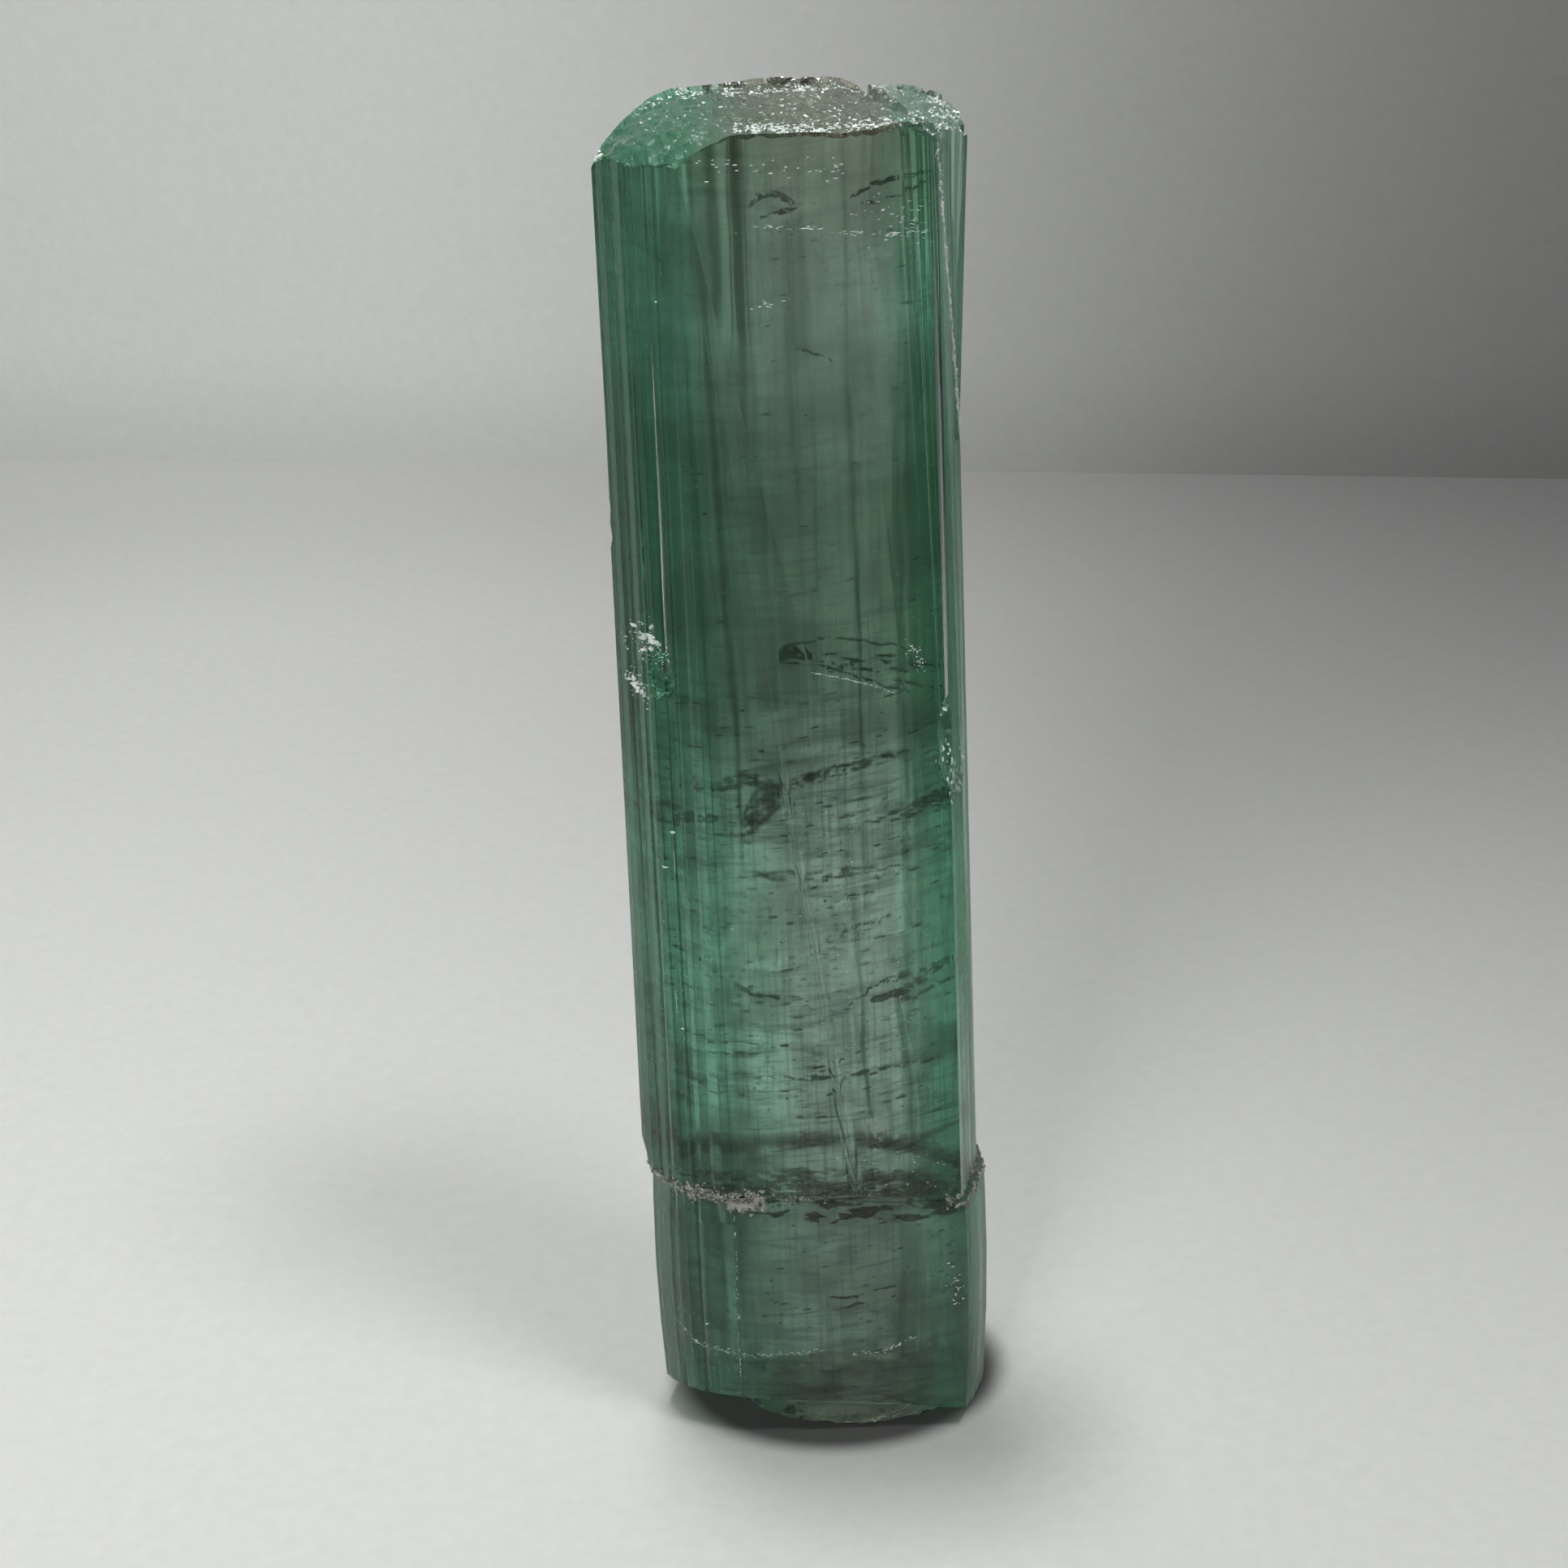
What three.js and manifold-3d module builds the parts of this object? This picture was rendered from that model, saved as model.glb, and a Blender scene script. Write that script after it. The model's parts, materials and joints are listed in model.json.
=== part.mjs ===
// Striated tourmaline prism that stands on its rounded broken base.
// Millimetres, +Z up the crystal, -Y out of its broad front face, +X to the right of that face.
// The origin is on the resting surface, under the middle of the crystal's box.

import * as THREE from 'three';
import { mergeVertices } from 'three/addons/utils/BufferGeometryUtils.js';
import Module from 'manifold-3d';

const wasm = await Module();
wasm.setup();

const { degToRad, lerp, smoothstep } = THREE.MathUtils;

// Heights above the resting surface.
const TOP_LEVEL = 43.97;
const CUT_MARGIN = 1.5;

// The healed crack across the crystal: its level on the axis, its slopes, and the gap that it fills.
const SEAM = { level: 9.15, perX: -0.045, perY: -0.04, gap: 0.26 };

// The crystal widens downwards, so that its section is true to size at this height.
const TRUE_SECTION_LEVEL = 26;
const TAPER_PER_MM = 0.0021;

// Section corners of the long upper length, anticlockwise from the left edge of the front face.
// Each corner starts a side: bow is how far that side swells out, grooves how many striations it has.
const SHALLOW_GROOVE = 0.01;
const DEEP_GROOVE = 0.07;
const GROOVE_JITTER = 0.9;
const FRONT_FACE_Y = -3.7;
const UPPER_SECTION = [
  { x: -2.95, y: FRONT_FACE_Y, bow: 0, grooves: 0 },
  { x: 4.5, y: FRONT_FACE_Y, bow: 0, grooves: 0 },
  { x: 5.16, y: -1.4, bow: 0.04, grooves: 1 },
  { x: 4.95, y: 0.7, bow: 0.12, grooves: 6 },
  { x: 3.1, y: 3.0, bow: 0.08, grooves: 3 },
  { x: 0.8, y: 3.95, bow: 0.06, grooves: 3 },
  { x: -1.9, y: 3.6, bow: 0.15, grooves: 4 },
  { x: -4.5, y: 1.4, bow: 0.12, grooves: 6 },
  { x: -5.52, y: -1.3, bow: 0.12, grooves: 5 },
  { x: -4.3, y: -3.02, bow: 0, grooves: 3 },
];

// Section corners of the short lower length, which sits a little to the right of the upper one.
const LOWER_SECTION = [
  { x: -2.6, y: -3.72, bow: 0, grooves: 0 },
  { x: 4.86, y: -3.72, bow: 0, grooves: 0 },
  { x: 5.66, y: -1.4, bow: 0.04, grooves: 1 },
  { x: 5.4, y: 0.8, bow: 0.12, grooves: 6 },
  { x: 3.4, y: 3.2, bow: 0.08, grooves: 3 },
  { x: 1.0, y: 4.1, bow: 0.06, grooves: 3 },
  { x: -1.8, y: 3.75, bow: 0.15, grooves: 4 },
  { x: -4.4, y: 1.5, bow: 0.12, grooves: 6 },
  { x: -5.5, y: -1.4, bow: 0.12, grooves: 5 },
  { x: -4.3, y: -3.1, bow: 0, grooves: 3 },
];
const LOWER_STEPS = 5;
const LOWER_WIDEST_LEVEL = 5.5;
const LOWER_BARREL = 0.0011;

// The filling of the healed crack stands back from both lengths, to this share of the upper section.
const FILLING_SHARE = 0.98;
const FILLING_HEIGHT = 1.4;

// The side crystal leans to the right and back as it rises, so it sinks into the main one lower down.
const SIDE_SECTION = [
  { x: 4.6, y: -3.0, bow: 0, grooves: 0 },
  { x: 5.4, y: -1.2, bow: 0.04, grooves: 0 },
  { x: 5.42, y: 0.3, bow: 0.08, grooves: 2 },
  { x: 4.85, y: 1.9, bow: 0.08, grooves: 2 },
  { x: 3.6, y: 3.3, bow: 0.05, grooves: 0 },
  { x: 2.75, y: 3.25, bow: 0, grooves: 0 },
  { x: 3.3, y: 1.0, bow: 0, grooves: 0 },
  { x: 3.9, y: -1.6, bow: 0, grooves: 0 },
];
const SIDE_LEAN_X = 0.0425;
const SIDE_LEAN_Y = 0.062;
const SIDE_SECTION_LEVEL = 43.2;
const SIDE_FOOT_LEVEL = 34.2;
const SIDE_TOP_LEVEL = 43.78;

// Broken top: rounded off at the left shoulder, less along the front, and level in the middle.
const SHOULDER = { start: 2.4, reach: 3.15, drop: 2.15, fullFrom: 4.3, fadesTo: 1.1 };
const FRONT_BEVEL = { start: 1.3, reach: 2.45, drop: 0.28, fadesFrom: 2.4, endsAt: 3.4 };
const SIDE_SHOULDER = { start: 4.5, reach: 1.02, drop: 1.25 };

// Line on the top where the side crystal meets the main one, which dips towards it and to the back.
const CONTACT = { x: 3.45, perY: -0.21, dipWidth: 1, backDip: 0.8, backY: 3.0, stepWidth: 0.15, step: 0.35 };

// Broken base: a rounded boss that the crystal stands on, inside a raised rim.
const BOSS = { x: 0.9, y: 0, halfWidth: 3.35, halfDepth: 3.11, squareness: 2.6, flank: 0.25 };
const RIM = { level: 1.25, perX: -0.1, perY: -0.35, lowest: 0.3 };
const BASE_RINGS = [0, 1, 1.05, 1.1, 1.15, 1.2, 1.25, 1.4, 1.6, 1.85, 2.2];
const BASE_SPOKES = 64;

// Crossing ridges of a broken face: heading in degrees, spacing and height in mm.
const TOP_RIDGES = [
  { heading: 25, spacing: 4.3, height: 0.16 },
  { heading: 78, spacing: 2.3, height: 0.12 },
  { heading: 143, spacing: 1.37, height: 0.08 },
  { heading: 8, spacing: 0.83, height: 0.05 },
];
const RIM_RIDGES = [
  { heading: 62, spacing: 2.9, height: 0.14 },
  { heading: 158, spacing: 1.7, height: 0.1 },
  { heading: 15, spacing: 1.1, height: 0.07 },
];
const SEAM_RIDGES = [
  { heading: 33, spacing: 2.1, height: 0.12 },
  { heading: 120, spacing: 0.95, height: 0.07 },
];
const SCAR_RIDGES = [
  { heading: 35, spacing: 0.55, height: 0.07 },
  { heading: 110, spacing: 0.9, height: 0.06 },
];

// Grid of a broken face, which is wider than the crystal, and how far its points stray, in cells.
const BREAK_CELL = 0.3;
const BREAK_JITTER = 0.5;
const BREAK_WIDTH = 13;
const BREAK_DEPTH = 10;
const SCATTER_STRETCH = 12.9;
const SCATTER_GAIN = 43758.5;

// Chips out of the faces and edges: centre, and half sizes of the hollow they would fill.
const SCARS = [
  // Left chip
  { at: [-4.75, -3.5, 27.6], half: [1.15, 0.75, 1.35] },
  // Left flake scar
  { at: [-6.05, -1.2, 31.9], half: [0.7, 1.0, 2.1] },
  // Right edge chip
  { at: [4.8, -3.95, 25.3], half: [0.8, 0.55, 2.0] },
  // Side face chip
  { at: [5.55, -2.2, 23.9], half: [0.55, 0.8, 1.4] },
  // Top left corner chip
  { at: [-5.1, -3.3, 42.9], half: [0.8, 0.8, 0.9] },
  // Back edge chip
  { at: [-3.6, 3.4, 38.2], half: [1.1, 0.9, 1.8] },
  // Back shoulder chip
  { at: [0.9, 4.6, 43.9], half: [2.1, 1.1, 1.1] },
  // Back seam chip
  { at: [2.4, 4.1, 9.4], half: [1.2, 0.7, 0.8] },
  // Low left corner chip
  { at: [-5.35, -2.9, 1.0], half: [0.7, 0.75, 0.8] },
];
const SCAR_DETAIL = 7;

// The upper length is bevelled where its left side meets the healed crack.
const SEAM_BEVEL = { x: -5.5, level: 9.75, leanDegrees: 13, thickness: 1, height: 2.4 };

// Repeatable scatter between 0 and 1.
function uneven(seed) {
  const wave = Math.sin(seed * SCATTER_STRETCH) * SCATTER_GAIN;
  return wave - Math.floor(wave);
}

// A wave of sharp ridges and round valleys over the plane, from 0 up to the ridges' summed height.
function ridges(list, x, y) {
  let sum = 0;
  for (const { heading, spacing, height } of list) {
    const turn = degToRad(heading);
    const across = x * Math.cos(turn) + y * Math.sin(turn);
    sum += height * (1 - Math.abs(Math.sin((Math.PI * across) / spacing + heading)));
  }
  return sum;
}

// Fall of a rounded shoulder, from 0 where it starts to 1 at its foot: a quarter of a circle.
function roundOff(share) {
  const reached = THREE.MathUtils.clamp(share, 0, 1);
  return 1 - Math.sqrt(1 - reached * reached);
}

// Rounding of the main crystal's top, deepest at the left and gone at the right front corner.
function shoulderDrop(x, y) {
  const left = Math.max(0, (-x - SHOULDER.start) / SHOULDER.reach);
  const front = Math.max(0, (-y - FRONT_BEVEL.start) / FRONT_BEVEL.reach);
  const leftness = smoothstep(-x, SHOULDER.fadesTo, SHOULDER.fullFrom);
  const frontDrop = FRONT_BEVEL.drop * (1 - smoothstep(x, FRONT_BEVEL.fadesFrom, FRONT_BEVEL.endsAt));
  return lerp(frontDrop, SHOULDER.drop, leftness) * roundOff(Math.hypot(left, front));
}

// Fall of the main crystal's top towards the side crystal, deeper at the back.
function contactDrop(x, y) {
  const past = x - (CONTACT.x + CONTACT.perY * y);
  const backness = (y - FRONT_FACE_Y) / (CONTACT.backY - FRONT_FACE_Y);
  const dip = CONTACT.backDip * backness * smoothstep(past, -CONTACT.dipWidth, CONTACT.dipWidth);
  return dip + CONTACT.step * smoothstep(past, -CONTACT.stepWidth, CONTACT.stepWidth);
}

function topHeight(x, y) {
  return TOP_LEVEL - shoulderDrop(x, y) - contactDrop(x, y) - ridges(TOP_RIDGES, x, y) / 2;
}

function sideTopHeight(x, y) {
  const shoulder = SIDE_SHOULDER.drop * roundOff((x - SIDE_SHOULDER.start) / SIDE_SHOULDER.reach);
  return SIDE_TOP_LEVEL - shoulder - ridges(TOP_RIDGES, y, x) / 2;
}

// Height of the base, `outside` being how far past the boss's edge, as a share of its half size.
function baseHeight(x, y, outside) {
  const slope = RIM.level + RIM.perX * x + RIM.perY * (y - FRONT_FACE_Y);
  const rim = Math.max(RIM.lowest, slope) + ridges(RIM_RIDGES, x, y) / 2;
  return rim * roundOff(outside / BOSS.flank);
}

function seamHeight(x, y) {
  return SEAM.level + SEAM.perX * x + SEAM.perY * y + ridges(SEAM_RIDGES, x, y) / 2;
}

// One side of a section, from its corner up to the next one, with its swell and uneven grooves.
function sidePoints(corner, next) {
  const run = new THREE.Vector2(next.x - corner.x, next.y - corner.y);
  const outward = new THREE.Vector2(run.y, -run.x).normalize();
  const pieces = corner.grooves * 2 + 1;
  const points = [];
  for (let i = 0; i < pieces; i += 1) {
    const chance = uneven(i + corner.x);
    const share = (i + (i > 0 ? GROOVE_JITTER * (chance - 0.5) : 0)) / pieces;
    const swell = corner.bow * 4 * share * (1 - share);
    const groove = i % 2 === 1 ? lerp(SHALLOW_GROOVE, DEEP_GROOVE, chance * chance) : 0;
    const point = new THREE.Vector2(corner.x, corner.y).addScaledVector(run, share);
    points.push(point.addScaledVector(outward, swell - groove));
  }
  return points;
}

function outline(section, share = 1) {
  const points = section.flatMap((corner, i) => sidePoints(corner, section[(i + 1) % section.length]));
  return new THREE.Shape(points.map((point) => point.multiplyScalar(share)));
}

function prism(section, low, high, { steps = 1, share = 1 } = {}) {
  const settings = { depth: high - low, steps, bevelEnabled: false };
  return new THREE.ExtrudeGeometry(outline(section, share), settings).translate(0, 0, low);
}

// Moves every point of a geometry in place.
function reshape(geometry, move) {
  const positions = geometry.getAttribute('position');
  const point = new THREE.Vector3();
  for (let i = 0; i < positions.count; i += 1) {
    move(point.fromBufferAttribute(positions, i));
    positions.setXYZ(i, point.x, point.y, point.z);
  }
  return geometry;
}

function solid(geometry) {
  const bare = geometry.clone();
  bare.deleteAttribute('normal');
  bare.deleteAttribute('uv');
  const merged = mergeVertices(bare);
  const vertProperties = new Float32Array(merged.getAttribute('position').array);
  const triVerts = new Uint32Array(merged.getIndex().array);
  return new wasm.Manifold(new wasm.Mesh({ numProp: 3, vertProperties, triVerts }));
}

// Block whose face at z = 0 follows a height over the plane; up is 1 for a block above that face.
// Its grid is jittered, so that the broken face has uneven facets.
function breakTool(height, up) {
  const columns = Math.round(BREAK_WIDTH / BREAK_CELL);
  const rows = Math.round(BREAK_DEPTH / BREAK_CELL);
  const thickness = 2 * CUT_MARGIN;
  const block = new THREE.BoxGeometry(BREAK_WIDTH, BREAK_DEPTH, thickness, columns, rows, 1);
  block.translate(0, 0, (up * thickness) / 2);
  return reshape(block, (point) => {
    if (Math.abs(point.z) > CUT_MARGIN) {
      point.z += height(0, 0);
      return;
    }
    const cell = Math.round(point.x / BREAK_CELL) + Math.round(point.y / BREAK_CELL) * columns;
    point.x += BREAK_CELL * BREAK_JITTER * (uneven(cell) - 0.5);
    point.y += BREAK_CELL * BREAK_JITTER * (uneven(cell + columns / 2) - 0.5);
    point.z = height(point.x, point.y);
  });
}

// Plug whose upper face is the underside of the crystal, in rings that follow the boss's edge.
function baseTool() {
  const outer = BASE_RINGS.at(-1);
  const face = BASE_RINGS.map((ring) => new THREE.Vector2(ring, 0));
  const bottom = [new THREE.Vector2(outer, -2 * CUT_MARGIN), new THREE.Vector2(0, -2 * CUT_MARGIN)];
  const plug = new THREE.LatheGeometry([...face, ...bottom].reverse(), BASE_SPOKES);
  plug.rotateX(Math.PI / 2);
  return reshape(plug, (point) => {
    const ring = Math.hypot(point.x, point.y);
    const spread = Math.abs(point.x) ** BOSS.squareness + Math.abs(point.y) ** BOSS.squareness;
    const swell = ring > 0 ? ring / spread ** (1 / BOSS.squareness) : 1;
    point.x = BOSS.x + BOSS.halfWidth * swell * point.x;
    point.y = BOSS.y + BOSS.halfDepth * swell * point.y;
    point.z += point.z > -CUT_MARGIN ? baseHeight(point.x, point.y, ring - 1) : 0;
  });
}

function scarTool({ at, half }) {
  const ball = mergeVertices(new THREE.IcosahedronGeometry(1, SCAR_DETAIL));
  ball.scale(...half);
  return reshape(ball, (point) => {
    const radius = point.length();
    const around = Math.atan2(point.y, point.x) * radius;
    point.multiplyScalar(1 - ridges(SCAR_RIDGES, around, point.z) / radius);
    point.add(new THREE.Vector3(...at));
  });
}

function upperLength() {
  const body = prism(UPPER_SECTION, SEAM.level - CUT_MARGIN, TOP_LEVEL + CUT_MARGIN);
  return reshape(body, (point) => {
    const widening = 1 + TAPER_PER_MM * (TRUE_SECTION_LEVEL - point.z);
    point.x *= widening;
    point.y *= widening;
  });
}

function lowerLength() {
  const body = prism(LOWER_SECTION, -CUT_MARGIN, SEAM.level + CUT_MARGIN, { steps: LOWER_STEPS });
  return reshape(body, (point) => {
    const narrowing = 1 - LOWER_BARREL * (point.z - LOWER_WIDEST_LEVEL) ** 2;
    point.x *= narrowing;
    point.y *= narrowing;
  });
}

// Filling of the healed crack, which reaches into both lengths.
function seamFilling() {
  const low = SEAM.level - FILLING_HEIGHT / 2;
  return prism(UPPER_SECTION, low, low + FILLING_HEIGHT, { share: FILLING_SHARE });
}

function sideCrystal() {
  const body = prism(SIDE_SECTION, SIDE_FOOT_LEVEL, SIDE_TOP_LEVEL + CUT_MARGIN);
  return reshape(body, (point) => {
    const rise = point.z - SIDE_SECTION_LEVEL;
    point.x += SIDE_LEAN_X * rise;
    point.y += SIDE_LEAN_Y * rise;
  });
}

function seamBevelTool() {
  const slab = new THREE.BoxGeometry(SEAM_BEVEL.thickness, BREAK_DEPTH, SEAM_BEVEL.height);
  slab.translate(-SEAM_BEVEL.thickness / 2, 0, 0);
  slab.rotateY(degToRad(-SEAM_BEVEL.leanDegrees));
  return slab.translate(SEAM_BEVEL.x, 0, SEAM_BEVEL.level);
}

function crystalSolid() {
  const upper = solid(upperLength())
    .subtract(solid(seamBevelTool()))
    .subtract(solid(breakTool(topHeight, 1)))
    .subtract(solid(breakTool((x, y) => seamHeight(x, y) + SEAM.gap / 2, -1)));
  const lower = solid(lowerLength())
    .subtract(solid(breakTool((x, y) => seamHeight(x, y) - SEAM.gap / 2, 1)))
    .subtract(solid(baseTool()));
  const side = solid(sideCrystal()).subtract(solid(breakTool(sideTopHeight, 1)));
  let crystal = upper.add(side).add(solid(seamFilling())).add(lower);
  for (const scar of SCARS) {
    crystal = crystal.subtract(solid(scarTool(scar)));
  }
  return crystal;
}

// Crystal mesh with the middle of its box over the origin.
function crystalMesh() {
  const { vertProperties, triVerts } = crystalSolid().getMesh();
  const geometry = new THREE.BufferGeometry();
  geometry.setAttribute('position', new THREE.BufferAttribute(vertProperties, 3));
  geometry.setIndex(new THREE.BufferAttribute(triVerts, 1));
  geometry.computeBoundingBox();
  const middle = geometry.boundingBox.getCenter(new THREE.Vector3());
  geometry.translate(-middle.x, -middle.y, -geometry.boundingBox.min.z);
  geometry.computeVertexNormals();
  const material = new THREE.MeshStandardMaterial({ color: 0x3f7a5f, roughness: 0.15, metalness: 0 });
  const mesh = new THREE.Mesh(geometry, material);
  mesh.name = 'tourmaline_crystal';
  return mesh;
}

const tourmaline = new THREE.Group();
tourmaline.add(crystalMesh());

export default tourmaline;
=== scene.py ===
import json
import math
import random

import bpy
from mathutils import Matrix, Vector, noise

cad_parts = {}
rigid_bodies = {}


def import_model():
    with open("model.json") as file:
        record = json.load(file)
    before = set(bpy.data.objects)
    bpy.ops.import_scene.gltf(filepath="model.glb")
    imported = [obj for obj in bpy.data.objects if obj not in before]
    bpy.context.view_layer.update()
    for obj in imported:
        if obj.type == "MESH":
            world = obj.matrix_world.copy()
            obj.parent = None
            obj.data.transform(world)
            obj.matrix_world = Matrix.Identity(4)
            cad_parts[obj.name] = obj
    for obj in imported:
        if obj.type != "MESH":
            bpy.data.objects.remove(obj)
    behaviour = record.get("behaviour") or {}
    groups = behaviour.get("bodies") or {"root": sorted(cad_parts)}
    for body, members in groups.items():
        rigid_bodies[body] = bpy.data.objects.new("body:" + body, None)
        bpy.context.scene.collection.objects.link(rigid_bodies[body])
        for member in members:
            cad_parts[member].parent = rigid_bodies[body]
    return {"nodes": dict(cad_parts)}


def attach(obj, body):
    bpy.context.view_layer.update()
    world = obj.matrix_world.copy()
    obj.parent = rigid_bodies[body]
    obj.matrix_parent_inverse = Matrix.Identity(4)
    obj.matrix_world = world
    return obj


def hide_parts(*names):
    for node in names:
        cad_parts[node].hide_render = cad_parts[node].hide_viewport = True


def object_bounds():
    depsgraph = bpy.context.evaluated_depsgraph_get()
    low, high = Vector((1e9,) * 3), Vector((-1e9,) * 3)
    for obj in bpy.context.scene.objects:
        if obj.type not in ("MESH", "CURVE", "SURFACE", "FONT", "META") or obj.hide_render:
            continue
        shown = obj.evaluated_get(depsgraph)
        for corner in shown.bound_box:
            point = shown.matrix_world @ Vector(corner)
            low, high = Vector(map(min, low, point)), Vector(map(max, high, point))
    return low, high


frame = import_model()
solids_box = [list(corner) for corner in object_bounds()]
MM = 0.001


# --- Camera -------------------------------------------------------------------------------------
# A close lens that looks down on the crystal from in front and above, held slightly off level,
# so that the upright crystal leans to the left in the picture.
CAMERA_PLACE = Vector((-0.525, -81.935, 59.6)) * MM
LOOKS_DOWN = math.radians(24.4)
HELD_OFF_LEVEL = math.radians(2.3)

bpy.ops.object.camera_add()
camera = bpy.context.object
camera.name = "close_camera"
camera.data.lens = 65
camera.data.sensor_width = 36
camera.data.clip_start = MM
camera.matrix_world = (
    Matrix.Translation(CAMERA_PLACE)
    @ Matrix.Rotation(math.pi / 2 - LOOKS_DOWN, 4, "X")
    @ Matrix.Rotation(-HELD_OFF_LEVEL, 4, "Z")
)
bpy.context.scene.camera = camera


# --- Crystal ------------------------------------------------------------------------------------
# The tourmaline itself: one clear blue-green prism, with a lighter crystal grown into its top
# right edge. Its broad front face is smooth, the faces round its sides and back are silky with
# fine lengthwise striations, and its top, its base and its chips are rough glinting breaks.
REFRACTS = 1.63
ABSORBS = (0.31, 0.78, 0.56, 1)
ABSORPTION = 100
CRYSTAL_HEIGHT = 44 * MM
ZONES_WIDTH = 12 * MM
ZONES_MIDDLE = 0.5 - 0.55 / 12
SIDE_CRYSTAL_FROM_X = (4.3 * MM, 4.7 * MM)
SIDE_CRYSTAL_FROM_Z = (33.5 * MM, 36 * MM)
# Where the right side face begins to be painted paler, a painted sheen of the light it reflects at
# a slant
RIGHT_FACE_SHEEN_FROM_X = (4.95 * MM, 5.1 * MM)
# The veils fade where the crystal is clear, below its healed break and in its bright band
CLEAR_FROM = (22 * MM, 33 * MM)
BELOW_BREAK_FROM = (9.4 * MM, 8.6 * MM)
BRIGHT_FROM = (14.5 * MM, 17.5 * MM)
BRIGHT_TO = (22.5 * MM, 20.5 * MM)
# The layers inside the crystal sag like a bowl: its middle in mm, and its rise in mm at 1 mm off
BOWL_MIDDLE = -1.2
BOWL_RISE = 0.032
BLOCK_WIDTH = 0.62 * MM
BLOCK_HEIGHT = 1.25 * MM
# Growth lines near the left edge: their x and half width in mm, and how bright they stay
GROWTH_LINES = [(-5.05, 0.05, 0.05), (-4.85, 0.03, 0.15), (-4.64, 0.045, 0.06), (-4.3, 0.03, 0.2),
                (-3.95, 0.045, 0.1), (-2.72, 0.03, 0.35)]
LINES_FADE_UP = (27 * MM, 36 * MM)
LINES_FADE_BACK = (-1.5 * MM, -1.2 * MM)
# Where the surface is broken, and how rough the breaks are
SEAM_LEVELS = (8.2 * MM, 10.4 * MM)
TOP_BREAK_FROM = 40.8 * MM
BASE_BREAK_TO = 3.0 * MM
BREAK_GRAIN = 0.45 * MM
BREAK_DEPTH = 0.22 * MM
BREAK_FINE_GRAIN = 0.14 * MM
BREAK_FINE_DEPTH = 0.08 * MM
SAME_POINT = 0.002 * MM
BOSS_MIDDLE = 0.9
WORN_RADIUS = 3.6 * MM
WORN_TO = 1.6 * MM
SOFT_EDGE = math.radians(35)


def work_on(piece):
    bpy.ops.object.select_all(action="DESELECT")
    piece.select_set(True)
    bpy.context.view_layer.objects.active = piece


def new_material(name):
    """A material with its node tree and its shader."""
    material = bpy.data.materials.new(name)
    material.use_nodes = True
    return material, material.node_tree, material.node_tree.nodes["Principled BSDF"]


def grey(level):
    return (level, level, level)


def feed(tree, socket, value):
    """Links a socket to the one that feeds it, or sets it to a number or a colour."""
    if isinstance(value, bpy.types.NodeSocket):
        tree.links.new(value, socket)
    elif isinstance(value, tuple):
        socket.default_value = (*value, 1)
    else:
        socket.default_value = value


def place_on(tree):
    """The three coordinates of a point on the piece, in metres."""
    split = tree.nodes.new("ShaderNodeSeparateXYZ")
    feed(tree, split.inputs[0], tree.nodes.new("ShaderNodeTexCoord").outputs["Object"])
    return split.outputs


def worked(tree, operation, *values):
    """The result of one sum on numbers or sockets."""
    node = tree.nodes.new("ShaderNodeMath")
    node.operation = operation
    for socket, value in zip(node.inputs, values):
        feed(tree, socket, value)
    return node.outputs[0]


def joined(tree, *values):
    vector = tree.nodes.new("ShaderNodeCombineXYZ")
    for socket, value in zip(vector.inputs, values):
        feed(tree, socket, value)
    return vector.outputs[0]


def spread(tree, value, low, high):
    """A share from 0 to 1 of the way from low to high, eased at both ends."""
    run = tree.nodes.new("ShaderNodeMapRange")
    run.interpolation_type = "SMOOTHSTEP"
    run.inputs["From Min"].default_value = low
    run.inputs["From Max"].default_value = high
    feed(tree, run.inputs["Value"], value)
    return run.outputs[0]


def pattern(tree, scale, stretch=(1, 1, 1), at=None, **settings):
    """Noise on the piece's own coordinates, with features of about 1 / scale metres."""
    mapping = tree.nodes.new("ShaderNodeMapping")
    mapping.inputs["Scale"].default_value = stretch
    place = at or tree.nodes.new("ShaderNodeTexCoord").outputs["Object"]
    feed(tree, mapping.inputs["Vector"], place)
    texture = tree.nodes.new("ShaderNodeTexNoise")
    texture.inputs["Scale"].default_value = scale
    for setting, value in settings.items():
        texture.inputs[setting].default_value = value
    feed(tree, texture.inputs["Vector"], mapping.outputs[0])
    return texture.outputs["Fac"]


def ramp(tree, value, stops):
    colours = tree.nodes.new("ShaderNodeValToRGB")
    for i, (at, colour) in enumerate(stops):
        stop = colours.color_ramp.elements[i] if i < 2 else colours.color_ramp.elements.new(at)
        stop.position = at
        stop.color = (*colour, 1)
    feed(tree, colours.inputs["Fac"], value)
    return colours.outputs["Color"]


def blended(tree, share, first, second, kind="MIX"):
    mix = tree.nodes.new("ShaderNodeMix")
    mix.data_type = "RGBA"
    mix.blend_type = kind
    for name, value in (("Factor", share), ("A", first), ("B", second)):
        feed(tree, mix.inputs[name], value)
    return mix.outputs["Result"]


def mask(tree, name):
    attribute = tree.nodes.new("ShaderNodeAttribute")
    attribute.attribute_name = name
    return attribute.outputs["Fac"]


def bumped(tree, height, depth, under=None):
    bump = tree.nodes.new("ShaderNodeBump")
    bump.inputs["Distance"].default_value = depth
    feed(tree, bump.inputs["Height"], height)
    if under is not None:
        feed(tree, bump.inputs["Normal"], under)
    return bump.outputs["Normal"]


def by_chance(tree, dimensions, socket, value):
    noisy = tree.nodes.new("ShaderNodeTexWhiteNoise")
    noisy.noise_dimensions = dimensions
    feed(tree, noisy.inputs[socket], value)
    return noisy.outputs["Value"]


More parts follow.
